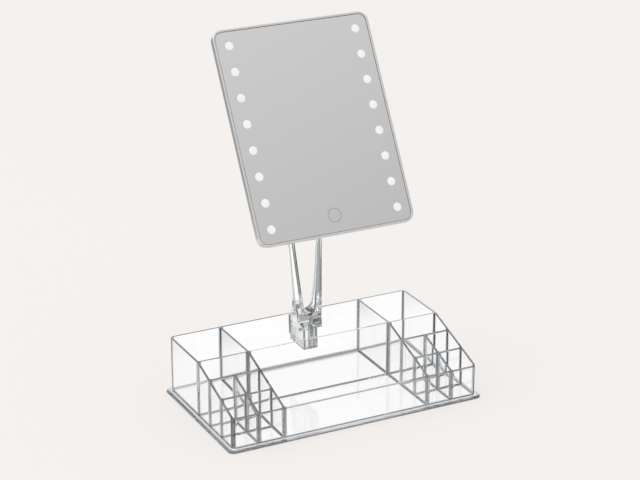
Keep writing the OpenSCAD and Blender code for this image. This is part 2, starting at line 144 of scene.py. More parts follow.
def joinAll(name, parts):
    selectOnly(parts[0])
    for part in parts:
        part.select_set(True)
    bpy.ops.object.join()
    parts[0].name = name
    return parts[0]


def copyOf(piece, name, shift):
    twin = piece.copy()
    twin.data = piece.data.copy()
    twin.name = name
    bpy.context.scene.collection.objects.link(twin)
    twin.data.transform(Matrix.Translation(shift))
    return twin


def applyModifier(piece, kind, **settings):
    modifier = piece.modifiers.new(kind.lower(), kind)
    for name, value in settings.items():
        setattr(modifier, name, value)
    selectOnly(piece)
    bpy.ops.object.modifier_apply(modifier=modifier.name)


def carve(piece, tool, operation="DIFFERENCE"):
    applyModifier(piece, "BOOLEAN", object=tool, operation=operation, solver="EXACT")
    bpy.data.objects.remove(tool)


def tidyMesh(piece, angle=1.0):  # merges doubles and joins what is flat within an angle in degrees
    pick(piece, "FACE", lambda centre, normal: True)
    bpy.ops.mesh.remove_doubles(threshold=hair)
    bpy.ops.mesh.select_all(action="SELECT")
    bpy.ops.mesh.dissolve_limited(angle_limit=math.radians(angle))
    bpy.ops.mesh.select_all(action="SELECT")
    bpy.ops.mesh.normals_make_consistent(inside=False)
    return backToObject(piece)


def roundEdges(piece, radius, segments, clamped=True):
    applyModifier(piece, "BEVEL", width=radius, segments=segments, limit_method="ANGLE",
                  angle_limit=crease, use_clamp_overlap=clamped, harden_normals=False,
                  miter_outer="MITER_ARC")
    selectOnly(piece)
    bpy.ops.object.shade_smooth_by_angle(angle=crease)
    applyModifier(piece, "WEIGHTED_NORMAL", keep_sharp=True, weight=80)


def dress(piece, body, material, slotName, *replaced):
    piece.data.materials.clear()
    piece.data.materials.append(material)
    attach(piece, body)
    if replaced:
        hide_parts(*replaced)


def mergedCopy(nodeName, name):  # a CAD node's own shape, merged so that its edges can be rounded
    source = nodes[nodeName]
    twin = source.copy()
    twin.data = source.data.copy()
    twin.name = name
    twin.parent = None
    for key in list(twin.keys()):
        del twin[key]
    bpy.context.scene.collection.objects.link(twin)
    return tidyMesh(twin)


# Camera, at the photograph's place

cameraFacts = {
    "place": (-0.9010, -1.7698, 0.9543),
    "looks": (0.4208, 0.8296, -0.3671),
    "lens": 120.06,
    "sensor": 36,
    "farthest": 60,
}
bpy.ops.object.camera_add(location=cameraFacts["place"])
camera = bpy.context.object
camera.rotation_euler = Vector(cameraFacts["looks"]).to_track_quat("-Z", "Y").to_euler()
camera.data.lens = cameraFacts["lens"]
camera.data.sensor_width = cameraFacts["sensor"]
camera.data.clip_end = cameraFacts["farthest"]
bpy.context.scene.camera = camera

# Studio: what lights the object, what gloss and clear plastic show, and what the camera sees

studio = {
    "backdrop": "#F5F1EE",
    "seenThroughClear": "#FFFFFF",
    "edgeDark": "#5E6266",   # what clear plastic shows on the left once light has turned inside it
    "edgeLight": "#BEC2C6",  # and on the right
    "edgeTurn": (-0.8, 0.8),      # directions along X between which the one fades into the other
    "turnShare": 0.28,       # how much of that grey the first turn brings; it grows with the square
    "ambient": 0.92,
    "roomLow": 0.35,         # grey of the room in front of the object, near the floor
    "roomHigh": 1.0,         # and overhead
    "roomRise": (0.305, 0.856),   # directions along Z between which it changes
    "sweep": 1.0,            # bright sweep behind the object and on its left
    "sweepBehind": (-0.15, 0.3),  # directions along Y where it starts and is whole
    "sweepLeft": (0.1, -0.4),     # and along X
    "keyPower": 9,
    "keySize": 1.4,
    "keyPlace": (-1.3, 0.5, 2.0),
    "keyAim": (0, 0, 0.15),
    "bounces": 32,           # clear walls bend light many times before it leaves the organizer
}
world = bpy.data.worlds.new("studioSurround")
bpy.context.scene.world = world
world.use_nodes = True
tree = world.node_tree
tree.nodes.clear()
ray = addNode(tree, "ShaderNodeLightPath").outputs
direction = addNode(tree, "ShaderNodeTexCoord").outputs["Generated"]
axes = addNode(tree, "ShaderNodeSeparateXYZ", links={0: direction}).outputs
start, end = studio["roomRise"]
room = addNode(tree, "ShaderNodeMapRange",
               {1: start, 2: end, 3: studio["roomLow"], 4: studio["roomHigh"]},
               {0: axes["Z"]}, clamp=True).outputs[0]
start, end = studio["sweepBehind"]
behind = addNode(tree, "ShaderNodeMapRange", {1: start, 2: end, 3: 0.0, 4: 1.0}, {0: axes["Y"]},
                 interpolation_type="SMOOTHSTEP").outputs[0]
start, end = studio["sweepLeft"]
leftWall = addNode(tree, "ShaderNodeMapRange", {1: start, 2: end, 3: 0.0, 4: 1.0}, {0: axes["X"]},
                   interpolation_type="SMOOTHSTEP").outputs[0]
bright = addNode(tree, "ShaderNodeMath", links={0: behind, 1: leftWall}, operation="MAXIMUM").outputs[0]
surround = addNode(tree, "ShaderNodeMix", {3: studio["sweep"]}, {0: bright, 2: room},
                   data_type="FLOAT").outputs[0]
sharpRay = addNode(tree, "ShaderNodeMath",
                   links={0: ray["Is Glossy Ray"], 1: ray["Is Transmission Ray"]},
                   operation="MAXIMUM").outputs[0]
squared = addNode(tree, "ShaderNodeMath", {1: 2.0}, {0: ray["Glossy Depth"]},
                  operation="POWER").outputs[0]
turns = addNode(tree, "ShaderNodeMath", {1: studio["turnShare"]}, {0: squared},
                operation="MULTIPLY", use_clamp=True).outputs[0]
turned = addNode(tree, "ShaderNodeMath", links={0: turns, 1: ray["Is Transmission Ray"]},
                 operation="MULTIPLY").outputs[0]
start, end = studio["edgeTurn"]
edge = addNode(tree, "ShaderNodeMapRange", {1: start, 2: end, 3: linear(studio["edgeDark"])[0],
                                            4: linear(studio["edgeLight"])[0]},
               {0: axes["X"]}, clamp=True).outputs[0]
dimmed = addNode(tree, "ShaderNodeMix", links={0: turned, 2: surround, 3: edge},
                 data_type="FLOAT").outputs[0]
lightLevel = addNode(tree, "ShaderNodeMix", {2: studio["ambient"]}, {0: sharpRay, 3: dimmed},
                     data_type="FLOAT").outputs[0]
lightShade = addNode(tree, "ShaderNodeBackground", {"Color": (1, 1, 1, 1)}, {"Strength": lightLevel})
cameraShade = addNode(tree, "ShaderNodeBackground", {"Color": linear(studio["backdrop"])})
shown = addNode(tree, "ShaderNodeMixShader",
                links={0: ray["Is Camera Ray"], 1: lightShade.outputs[0], 2: cameraShade.outputs[0]})
addNode(tree, "ShaderNodeOutputWorld", links={0: shown.outputs[0]})

bpy.ops.object.light_add(type="AREA", location=studio["keyPlace"])
keyLight = bpy.context.object
keyLight.data.energy = studio["keyPower"]
keyLight.data.size = studio["keySize"]
aim = Vector(studio["keyAim"]) - Vector(studio["keyPlace"])
keyLight.rotation_euler = aim.to_track_quat("-Z", "Y").to_euler()

# Floor: painted board, matt, with a faint tooth that only shows close by. The camera sees it bare.
# Light that passes through clear plastic, or turns inside it, sees the cards, and gloss sees the flag
cards = {
    "tooth": "#F4F0ED",
    "underTray": "#E4E6E8",  # light ground under the wide tray
    "far": "#565A5C",        # dark card behind the organizer, for the edges of the neck
    "rail": "#A6A8A8",       # grey card beside it, which shows straight through the left rail
    "railSlope": 0.479,      # of that card's long edges
    "sideFlag": "#4A4C4E",   # dark flag on the left, which the side of the mirror's frame reflects
    "shadowShare": 0.2,      # how much of the floor's own shading shows
    "floorSize": 16,
    "floorDrop": 0.4 * mm,
}
cardEdges = {  # what each edge is measured along, and the metres where it starts and is whole
    "rightward": ("X", -0.3, 0.3),
    "nearMiddle": ("offMiddle", 0.079, 0.074),
    "ahead": ("Y", 0.05, 0.03),
    "farOff": ("Y", 0.14, 0.19),
    "openFront": ("Y", -0.2, -0.3),
    "rightOfLine": ("offLine", -0.039, -0.034),
    "leftOfLine": ("offLine", -0.010, -0.018),
    "railWide": ("Y", 0.205, 0.22),
    "railStart": ("Y", 0.165, 0.175),
    "flagAside": ("X", -0.15, -0.25),
    "flagFar": ("Y", 0.35, 0.45),
}
floorMaterial, tree, surface = startMaterial("paintedBoard", {
    "Roughness": 0.9, "Specular IOR Level": 0.1})
ray = addNode(tree, "ShaderNodeLightPath").outputs
place = addNode(tree, "ShaderNodeTexCoord").outputs["Object"]
tooth = addNode(tree, "ShaderNodeTexNoise", {"Scale": 900.0, "Detail": 3.0},  # grain of about 1 mm
                {"Vector": place})
tone = addNode(tree, "ShaderNodeMix", {6: linear(studio["backdrop"]), 7: linear(cards["tooth"])},
               {0: tooth.outputs["Fac"]}, data_type="RGBA")
tree.links.new(tone.outputs[2], surface.inputs["Base Color"])
axes = addNode(tree, "ShaderNodeSeparateXYZ", links={0: place}).outputs
along = {"X": axes["X"], "Y": axes["Y"]}
along["offMiddle"] = addNode(tree, "ShaderNodeMath", links={0: axes["X"]},
                             operation="ABSOLUTE").outputs[0]
along["offLine"] = addNode(tree, "ShaderNodeMath", {1: -cards["railSlope"]},
                           {0: axes["Y"], 2: axes["X"]}, operation="MULTIPLY_ADD").outputs[0]
on = {}
for name, (way, start, end) in cardEdges.items():
    on[name] = addNode(tree, "ShaderNodeMapRange", {1: start, 2: end}, {0: along[way]},
                       clamp=True).outputs[0]
under = addNode(tree, "ShaderNodeMath", links={0: on["nearMiddle"], 1: on["ahead"]},
                operation="MULTIPLY").outputs[0]
edge = addNode(tree, "ShaderNodeMix", {6: linear(studio["edgeDark"]), 7: linear(studio["edgeLight"])},
               {0: on["rightward"]}, data_type="RGBA").outputs[2]
for share, colour in ((under, cards["underTray"]), (on["farOff"], cards["far"]),
                      (on["openFront"], studio["seenThroughClear"])):
    edge = addNode(tree, "ShaderNodeMix", {7: linear(colour)}, {0: share, 6: edge},
                   data_type="RGBA").outputs[2]
growth = addNode(tree, "ShaderNodeMath", {1: studio["turnShare"]},
                 {0: ray["Glossy Depth"], 2: on["farOff"]}, operation="MULTIPLY_ADD").outputs[0]
turns = addNode(tree, "ShaderNodeMath", links={0: growth, 1: ray["Glossy Depth"]}, operation="MULTIPLY",
                use_clamp=True).outputs[0]
onCard = addNode(tree, "ShaderNodeMath", links={0: on["rightOfLine"], 1: on["railWide"]},
                 operation="MAXIMUM").outputs[0]
for share in (on["leftOfLine"], on["railStart"]):
    onCard = addNode(tree, "ShaderNodeMath", links={0: onCard, 1: share},
                     operation="MULTIPLY").outputs[0]
straight = addNode(tree, "ShaderNodeMix",
                   {6: linear(studio["seenThroughClear"]), 7: linear(cards["rail"])},
                   {0: onCard}, data_type="RGBA").outputs[2]
turned = addNode(tree, "ShaderNodeMix", links={0: turns, 6: straight, 7: edge},
                 data_type="RGBA").outputs[2]
flag = on["flagAside"]
for share in (on["flagFar"], ray["Is Glossy Ray"]):
    flag = addNode(tree, "ShaderNodeMath", links={0: flag, 1: share}, operation="MULTIPLY").outputs[0]
bare = addNode(tree, "ShaderNodeMix", {6: linear(studio["backdrop"]), 7: linear(cards["sideFlag"])},
               {0: flag}, data_type="RGBA").outputs[2]
colour = addNode(tree, "ShaderNodeMix", links={0: ray["Is Transmission Ray"], 6: bare, 7: turned},
                 data_type="RGBA").outputs[2]
flat = addNode(tree, "ShaderNodeEmission", links={"Color": colour}).outputs[0]
seen = ray["Is Camera Ray"]
for kind in ("Is Glossy Ray", "Is Transmission Ray"):
    seen = addNode(tree, "ShaderNodeMath", links={0: seen, 1: ray[kind]},
                   operation="MAXIMUM").outputs[0]
share = addNode(tree, "ShaderNodeMath", {1: 1 - cards["shadowShare"]}, {0: seen},
                operation="MULTIPLY").outputs[0]
share = addNode(tree, "ShaderNodeMath", links={0: share, 1: ray["Is Transmission Ray"]},
                operation="MAXIMUM").outputs[0]
both = addNode(tree, "ShaderNodeMixShader", links={0: share, 1: surface.outputs[0], 2: flat})
output = [n for n in tree.nodes if n.type == "OUTPUT_MATERIAL"][0]
tree.links.new(both.outputs[0], output.inputs[0])

bpy.ops.mesh.primitive_plane_add(size=cards["floorSize"], location=(0, 0, -cards["floorDrop"]))
floor = bpy.context.object
floor.name = "floor"
floor.data.materials.append(floorMaterial)

bpy.context.scene.cycles.max_bounces = studio["bounces"]
bpy.context.scene.cycles.transmission_bounces = studio["bounces"]
bpy.context.scene.cycles.glossy_bounces = studio["bounces"]
bpy.context.scene.view_settings.view_transform = "Standard"
print("camera and studio ready")


# Materials

def flowCoordinates(tree):
    return addNode(tree, "ShaderNodeTexCoord").outputs["Object"]


# Polished acrylic, injection moulded: clear and glass bright, with a faint flow ripple in its faces.
# Its fillets are painted grey, a painted shade for the dark edges that thick clear plastic shows, but
# hardly near the floor, and not at all at the foot of the wide tray. The plate's lip and the foot of the
# back wall are a little greyer, with painted shade
acrylic = {
    "clear": "#FFFFFF",
    # painted shade that the fillets take, for the dark edges of thick clear plastic
    "fillet": "#7C8084",
    # painted shade on the plate's lip and the foot of the back wall
    "lip": "#C8CACC",
    "flatness": (0.7, 0.93),  # of a fillet, and of a flat face
}
acrylicPlaces = {  # what each is measured along, the mm where it starts and is whole, and its strength
    "low": ("Z", 5.0, 2.5, 0.9),
    "foot": ("Z", 6.0, 5.5, 1.0),
    "wideTray": ("offMiddle", 79, 77, 1.0),
    "ahead": ("Y", 20, 15, 1.0),
    "backWall": ("Y", 70, 71.5, 1.0),
    "besideLip": ("offMiddle", 137.4, 137.9, 1.0),
    "frontLip": ("offCentre", 76.9, 77.4, 1.0),
}
clearAcrylic, tree, surface = startMaterial("mouldedClearAcrylic", {
    "Base Color": linear(acrylic["clear"]), "Roughness": 0.02, "IOR": 1.49, "Transmission Weight": 1.0,
    "Specular Tint": linear("#BCBCBC")})
ripple = addNode(tree, "ShaderNodeTexNoise", {"Scale": 45.0, "Detail": 1.0},  # waves of about 22 mm
                 {"Vector": flowCoordinates(tree)})
bump = addNode(tree, "ShaderNodeBump", {"Strength": 0.12, "Distance": 0.6 * mm},
               {"Height": ripple.outputs["Fac"]})
tree.links.new(bump.outputs[0], surface.inputs["Normal"])
normal = addNode(tree, "ShaderNodeTexCoord").outputs["Normal"]
squared = addNode(tree, "ShaderNodeVectorMath", links={0: normal, 1: normal},
                  operation="MULTIPLY").outputs[0]
flatness = addNode(tree, "ShaderNodeVectorMath", links={0: squared, 1: squared},
                   operation="DOT_PRODUCT")  # 1 on flat faces, less on fillets and rounded edges
start, end = acrylic["flatness"]
flat = addNode(tree, "ShaderNodeMapRange", {1: start, 2: end}, {0: flatness.outputs["Value"]},
               clamp=True).outputs[0]
spot = addNode(tree, "ShaderNodeSeparateXYZ", links={0: flowCoordinates(tree)}).outputs
along = {"Y": spot["Y"], "Z": spot["Z"]}
for name, axis in (("offMiddle", "X"), ("offCentre", "Y")):
    along[name] = addNode(tree, "ShaderNodeMath", links={0: spot[axis]},
                          operation="ABSOLUTE").outputs[0]
at = {}
for name, (way, start, end, most) in acrylicPlaces.items():
    at[name] = addNode(tree, "ShaderNodeMapRange", {1: start * mm, 2: end * mm, 4: most},
                       {0: along[way]}, clamp=True).outputs[0]
for name in ("ahead", "backWall"):
    for share in (at["foot"], at["wideTray"]):
        at[name] = addNode(tree, "ShaderNodeMath", links={0: at[name], 1: share},
                           operation="MULTIPLY").outputs[0]
for share in (at["low"], at["ahead"]):
    flat = addNode(tree, "ShaderNodeMath", links={0: flat, 1: share}, operation="MAXIMUM").outputs[0]
# where painted shade greys the plate's lip and the foot of the back wall
lipShadeMask = at["besideLip"]
for share in (at["frontLip"], at["backWall"]):
    lipShadeMask = addNode(tree, "ShaderNodeMath", links={0: lipShadeMask, 1: share},
                     operation="MAXIMUM").outputs[0]
# fillets take the painted shade, and flat faces stay clear
tint = addNode(tree, "ShaderNodeMix", {6: linear(acrylic["fillet"]), 7: linear(acrylic["clear"])},
               {0: flat}, data_type="RGBA").outputs[2]
shade = addNode(tree, "ShaderNodeMix", {6: linear(acrylic["clear"]), 7: linear(acrylic["lip"])},
                {0: lipShadeMask}, data_type="RGBA").outputs[2]
tint = addNode(tree, "ShaderNodeMix", {0: 1.0}, {6: tint, 7: shade},
               data_type="RGBA", blend_type="MULTIPLY").outputs[2]
tree.links.new(tint, surface.inputs["Base Color"])

# Silver lacquer on ABS: a satin metallic paint, its fine flake gives a soft grey sheen
silverLacquer, tree, surface = startMaterial("silverLacquer", {
    "Base Color": linear("#DFE0E1"), "Metallic": 0.75, "Roughness": 0.3, "Coat Weight": 0.3,
    "Coat Roughness": 0.1})
flake = addNode(tree, "ShaderNodeTexNoise", {"Scale": 2500.0, "Detail": 2.0},  # flakes of 0.4 mm
                {"Vector": flowCoordinates(tree)})
tint = addNode(tree, "ShaderNodeMix", {6: linear("#DADBDC"), 7: linear("#E4E5E6")},
               {0: flake.outputs["Fac"]}, data_type="RGBA")
tree.links.new(tint.outputs[2], surface.inputs["Base Color"])
bump = addNode(tree, "ShaderNodeBump", {"Strength": 0.04, "Distance": 0.2 * mm},
               {"Height": flake.outputs["Fac"]})
tree.links.new(bump.outputs[0], surface.inputs["Normal"])

# Silvered float glass: a near perfect mirror that takes the room's grey, with a faint roll wave
silveredGlass, tree, surface = startMaterial("silveredFloatGlass", {
    "Base Color": linear("#EDECEC"), "Metallic": 1.0, "Roughness": 0.02})
wave = addNode(tree, "ShaderNodeTexNoise", {"Scale": 9.0, "Detail": 0.0},  # roll wave of about 110 mm
               {"Vector": flowCoordinates(tree)})
bump = addNode(tree, "ShaderNodeBump", {"Strength": 0.05, "Distance": 0.8 * mm},
               {"Height": wave.outputs["Fac"]})
tree.links.new(bump.outputs[0], surface.inputs["Normal"])

# Etched glass over the lights: flat white and matt, glowing a little from the chips behind it
etchedWindow, tree, surface = startMaterial("etchedWindow", {
    "Base Color": linear("#EFEDEB"), "Roughness": 0.55, "Emission Color": linear("#FFFDFA"),
    "Emission Strength": 0.1})
etch = addNode(tree, "ShaderNodeTexNoise", {"Scale": 3000.0, "Detail": 2.0},  # acid etch grain 0.3 mm
               {"Vector": flowCoordinates(tree)})
bump = addNode(tree, "ShaderNodeBump", {"Strength": 0.1, "Distance": 0.1 * mm},
               {"Height": etch.outputs["Fac"]})
tree.links.new(bump.outputs[0], surface.inputs["Normal"])

# Screen print on the glass: a thin even grey line with a slightly broken edge
ringInk, tree, surface = startMaterial("screenPrintedInk", {
    "Base Color": linear("#A9ABAC"), "Roughness": 0.45})
speck = addNode(tree, "ShaderNodeTexNoise", {"Scale": 2200.0},  # specks of about 0.5 mm
                {"Vector": flowCoordinates(tree)})
tint = addNode(tree, "ShaderNodeMix", {6: linear("#A2A4A5"), 7: linear("#B0B2B3")},
               {0: speck.outputs["Fac"]}, data_type="RGBA")
tree.links.new(tint.outputs[2], surface.inputs["Base Color"])


# Plain moulded plastics, each with the grain of its tool, in mm, and a slight change of shade
def mouldedPlastic(name, dark, light, roughness, grain, depth):
    material, tree, surface = startMaterial(name, {"Roughness": roughness})
    place = flowCoordinates(tree)
    fine = addNode(tree, "ShaderNodeTexNoise", {"Scale": 1 / (grain * mm), "Detail": 3.0},
                   {"Vector": place})
    broad = addNode(tree, "ShaderNodeTexNoise", {"Scale": 40.0, "Detail": 2.0},  # clouds of 25 mm
                    {"Vector": place})
    tint = addNode(tree, "ShaderNodeMix", {6: linear(dark), 7: linear(light)},
                   {0: broad.outputs["Fac"]}, data_type="RGBA")
    tree.links.new(tint.outputs[2], surface.inputs["Base Color"])
    bump = addNode(tree, "ShaderNodeBump", {"Strength": 0.35, "Distance": depth * mm},
                   {"Height": fine.outputs["Fac"]})
    tree.links.new(bump.outputs[0], surface.inputs["Normal"])
    return material


# Grey ABS from a spark eroded tool: matt, with a fine grain that softens its highlights
greyAbs = mouldedPlastic("grainedGreyAbs", "#C3C5C6", "#CBCDCE", 0.48, 0.6, 0.08)
# White polystyrene from a plain tool: even and slightly glossy
whiteStyrene = mouldedPlastic("whitePolystyrene", "#E9E8E5", "#F1F0EE", 0.35, 1.5, 0.02)
# Black ABS of the battery bay: plain and dull
blackAbs = mouldedPlastic("blackAbs", "#2B2B2D", "#343437", 0.5, 0.8, 0.05)
# Nylon washers, cut from sheet: waxy and off white
nylon = mouldedPlastic("nylonSheet", "#E4E2DA", "#ECEAE3", 0.4, 1.0, 0.03)
# Solder mask on glass fibre board: deep green and semi gloss
solderMask = mouldedPlastic("solderMask", "#1C5A38", "#236B44", 0.3, 1.2, 0.03)
# Silicone over the light chips: amber and rounded
chipSilicone = mouldedPlastic("phosphorSilicone", "#E8CF6A", "#F0DB82", 0.3, 0.8, 0.02)
# PVC wire insulation: red and slightly shiny
wirePvc = mouldedPlastic("pvcInsulation", "#9E2320", "#AE2B26", 0.35, 1.0, 0.02)

# Nickel plated steel, turned: bright, with fine rings that stretch its highlights
nickelSteel, tree, surface = startMaterial("nickelPlatedSteel", {
    "Base Color": linear("#C4C2BD"), "Metallic": 1.0, "Roughness": 0.22})
rings = addNode(tree, "ShaderNodeTexNoise", {"Scale": 1800.0, "Detail": 2.0},  # turning marks of 0.6 mm
                {"Vector": flowCoordinates(tree)})
bump = addNode(tree, "ShaderNodeBump", {"Strength": 0.08, "Distance": 0.1 * mm},
               {"Height": rings.outputs["Fac"]})
tree.links.new(bump.outputs[0], surface.inputs["Normal"])

# Shrink wrapped steel can: glossy copper coloured film
cellWrap, tree, surface = startMaterial("shrinkWrappedCell", {
    "Base Color": linear("#B5813C"), "Metallic": 0.6, "Roughness": 0.3})
scuff = addNode(tree, "ShaderNodeTexNoise", {"Scale": 120.0, "Detail": 4.0},  # patches of about 8 mm
                {"Vector": flowCoordinates(tree)})
tint = addNode(tree, "ShaderNodeMix", {6: linear("#A9773A"), 7: linear("#C08E4A")},
               {0: scuff.outputs["Fac"]}, data_type="RGBA")
tree.links.new(tint.outputs[2], surface.inputs["Base Color"])
print("materials ready")

# Organizer: one clear moulding. Its block is cut by the slope, then by a core for each compartment

tray = {
    "cornerRadius": 5.0 * mm,
    "innerCorner": 2.5 * mm,
    "plateCorner": 6.5 * mm,
    "plateRound": 2.3 * mm,   # quarter round along the top edge of the plate
    "coreFillet": 2.0 * mm,
    "coreAbove": 3.0 * mm,    # how far the cores reach above the rim
    "edgeRound": 0.6 * mm,
    "socketRound": 0.8 * mm,
    "ribWidth": 4.0 * mm,
    "ribLength": 14.5 * mm,
    "ribDrop": 1.6 * mm,      # the rib's top below the socket's
    "pocketWall": 2.2 * mm,
    "pocketFloor": 2.5 * mm,
    "gateRadius": 4.0 * mm,   # of its cone at its root, below the floor
    "gateTop": 0.35,          # share of that radius at its top
    "gateHeight": 0.3 * mm,
}
plateLow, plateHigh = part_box("base_plate")
endLow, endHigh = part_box("right_end_wall")
innerLow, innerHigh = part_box("right_inner_wall")
cellLow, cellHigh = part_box("right_cell_walls")
frontLow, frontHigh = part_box("front_wall")
backLow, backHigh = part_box("back_wall")
middleLow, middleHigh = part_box("middle_cross_wall")
crossWalls = [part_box("right_cross_wall_%d" % row) for row in (1, 2, 3)]
floorZ, rimZ = plateHigh.z, middleHigh.z
coreTop = rimZ + tray["coreAbove"]
clearTray = roundedSlab("clearTray", (-endHigh.x, frontLow.y, plateLow.z + overlap),
                        (endHigh.x, backHigh.y, rimZ), tray["cornerRadius"], 6)
slopeRun, slopeDrop = middleLow.y - frontLow.y, rimZ - frontHigh.z
pick(clearTray, "FACE", lambda centre, normal: True)
bpy.ops.mesh.bisect(plane_co=(0, middleLow.y, rimZ), plane_no=(0, -slopeDrop, slopeRun),
                    use_fill=True, clear_outer=True)
backToObject(clearTray)
plate = roundedSlab("plate", plateLow, plateHigh, tray["plateCorner"], 8)
pick(plate, "EDGE", lambda a, b: min(a.z, b.z) > plateHigh.z - hair)
bpy.ops.mesh.bevel(offset=tray["plateRound"], segments=5, profile=0.5, affect="EDGES")
backToObject(plate)
carve(clearTray, plate, "UNION")

outerX, wallX = endLow.x, innerHigh.x
rows = [(crossWalls[0][1].y, backLow.y, wallX, outerX),
        (crossWalls[1][1].y, crossWalls[0][0].y, wallX, outerX)]
for nearY, farY in ((crossWalls[2][1].y, crossWalls[1][0].y), (frontHigh.y, crossWalls[2][0].y)):
    rows.append((nearY, farY, wallX, cellLow.x))
    rows.append((nearY, farY, cellHigh.x, outerX))
spaces = [(-right, near, -left, far) for near, far, left, right in rows]
spaces += [(left, near, right, far) for near, far, left, right in rows]
spaces += [(-innerLow.x, frontHigh.y, innerLow.x, middleLow.y),
           (-innerLow.x, middleHigh.y, innerLow.x, backLow.y)]


def cornerEdge(a, b):  # an upright edge of a core, in one of the organizer's own four corners
    reach = tray["innerCorner"] + hair
    atEnd = a.y > backLow.y - reach or a.y < frontHigh.y + reach
    return upright(a, b) and atEnd and abs(a.x) > outerX - reach


cores = []
for left, near, right, far in spaces:
    core = addBlock("core", (left, near, floorZ), (right, far, coreTop))
    pick(core, "EDGE", cornerEdge)
    bpy.ops.mesh.bevel(offset=tray["innerCorner"], segments=5, profile=0.5, affect="EDGES")
    backToObject(core)
    pick(core, "EDGE", lambda a, b: min(a.z, b.z) < floorZ + hair and not cornerEdge(a, b))
    bpy.ops.mesh.bevel(offset=tray["coreFillet"], segments=3, profile=0.5, affect="EDGES")
    cores.append(backToObject(core))
carve(clearTray, joinAll("cores", cores))

socketLow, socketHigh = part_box("neck_socket")
blockBack = socketHigh.y - tray["ribLength"]
socketBlock = roundedSlab("socketBlock", socketLow, (socketHigh.x, blockBack, socketHigh.z),
                          tray["socketRound"], 3)
rib = addBlock("rib", (-tray["ribWidth"] / 2, blockBack - overlap, socketLow.z),
               (tray["ribWidth"] / 2, socketHigh.y + overlap, socketHigh.z - tray["ribDrop"]))
carve(socketBlock, rib, "UNION")
carve(clearTray, socketBlock, "UNION")
wall = tray["pocketWall"]
pocket = addBlock("pocket", (socketLow.x + wall, socketLow.y + wall, socketLow.z + tray["pocketFloor"]),
                  (socketHigh.x - wall, blockBack - wall, coreTop))
carve(clearTray, pocket)
gate = addRod("gate", 0, 0, floorZ - overlap, floorZ + tray["gateHeight"], tray["gateRadius"], 24)
pick(gate, "FACE", lambda centre, normal: normal.z > 0.9)
bpy.ops.transform.resize(value=(tray["gateTop"], tray["gateTop"], 1))
backToObject(gate)
carve(clearTray, gate, "UNION")
tidyMesh(clearTray)
roundEdges(clearTray, tray["edgeRound"], 2, clamped=False)  # clamped, the least fillet would limit it
for vertex in clearTray.data.vertices:  # it rises a little above the rim where the slope starts
    vertex.co.z = min(vertex.co.z, rimZ)
dress(clearTray, "organizer", clearAcrylic, "clear_plastic",
      *frame["record"]["behaviour"]["bodies"]["organizer"])
print("organizer:", len(clearTray.data.polygons), "faces")

# Neck: one clear moulding, a foot with a collar and two rails that spread upward

neck = {
    "railRound": 1.4 * mm,
    "endRound": 0.3 * mm,
    "collar": 6.5 * mm,
    "earLow": 264 * mm,   # the long edges are rounded up to here
    "crossEdge": 3 * mm,  # longer edges that run straight across a rail only divide its faces
    "straight": 0.98,     # share of its length along an axis from which an edge runs along it
    "seatGap": 0.1 * mm,  # air between the collar and the socket, so that two clear faces never touch
}


def railEdge(a, b):
    run = b - a
    most = neck["straight"] * run.length
    across = abs(run.x) > most and run.length > neck["crossEdge"]
    within = min(a.z, b.z) > rimZ + neck["collar"] and max(a.z, b.z) < neck["earLow"]
    return within and not across and abs(run.y) < most


clearNeck = mergedCopy("neck", "clearNeck")
pick(clearNeck, "FACE", lambda centre, normal: normal.z < -0.9 and abs(centre.z - rimZ) < hair)
bpy.ops.transform.translate(value=(0, 0, neck["seatGap"]))
backToObject(clearNeck)
pick(clearNeck, "EDGE", railEdge)
bpy.ops.mesh.bevel(offset=neck["railRound"], segments=4, profile=0.5, affect="EDGES",
                   clamp_overlap=False)
backToObject(clearNeck)
roundEdges(clearNeck, neck["endRound"], 2)
dress(clearNeck, "stand", clearAcrylic, "clear_plastic", "neck")
print("neck:", len(clearNeck.data.polygons), "faces")

# The head is shaped flat, with its face at Z 0, and then leaned back onto the neck

head = {
    "width": 171.5 * mm,
    "height": 219 * mm,
    "corner": 10.5 * mm,
    "rim": 2.2 * mm,
    "ledge": 3.0 * mm,
    "glassFront": 1.0 * mm,
    "glassBack": 3.0 * mm,
    "trayFront": 5.0 * mm,
    "depth": 6.2 * mm,
    "rimRound": 0.7 * mm,
    "paneRound": 0.2 * mm,
    "paneGap": 0.5 * mm,  # dark seam between the rim and the glass
}
headUp = Vector([j for j in frame["joints"] if j["name"] == "door_slide"][0]["axis"]).normalized()
headOut = Vector((1, 0, 0)).cross(headUp)
glassLow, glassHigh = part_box("mirror_glass")
glassMiddle = (glassLow + glassHigh) / 2
headFace = glassMiddle + headOut * (head["glassFront"] + head["glassBack"]) / 2
headTurn = Matrix((Vector((1, 0, 0)), headUp, headOut)).transposed()
headPlace = Matrix.Translation(headFace) @ headTurn.to_4x4()


def lean(piece):
    piece.matrix_world = headPlace
    selectOnly(piece)
    bpy.ops.object.transform_apply(location=True, rotation=True, scale=True)


def headSlab(name, inset, front, back, segments=10):  # depths are measured back from the rim's face
    x, y = head["width"] / 2 - inset, head["height"] / 2 - inset
    return roundedSlab(name, (-x, -y, -back), (x, y, -front), head["corner"] - inset, segments)


# Frame: silver rim with a seat for the glass, a ledge behind it and a seat for the inner tray
silverFrame = headSlab("silverFrame", 0, 0, head["depth"])
pastBack = head["depth"] + overlap
carve(silverFrame, headSlab("glassSeat", head["rim"], -overlap, head["glassBack"]))
carve(silverFrame, headSlab("window", head["rim"] + head["ledge"], -overlap, pastBack, 6))
carve(silverFrame, headSlab("traySeat", head["rim"], head["trayFront"], pastBack))
tidyMesh(silverFrame, 0.5)
roundEdges(silverFrame, head["rimRound"], 3)
lean(silverFrame)
dress(silverFrame, "head", silverLacquer, "silver_plastic", "head_frame")

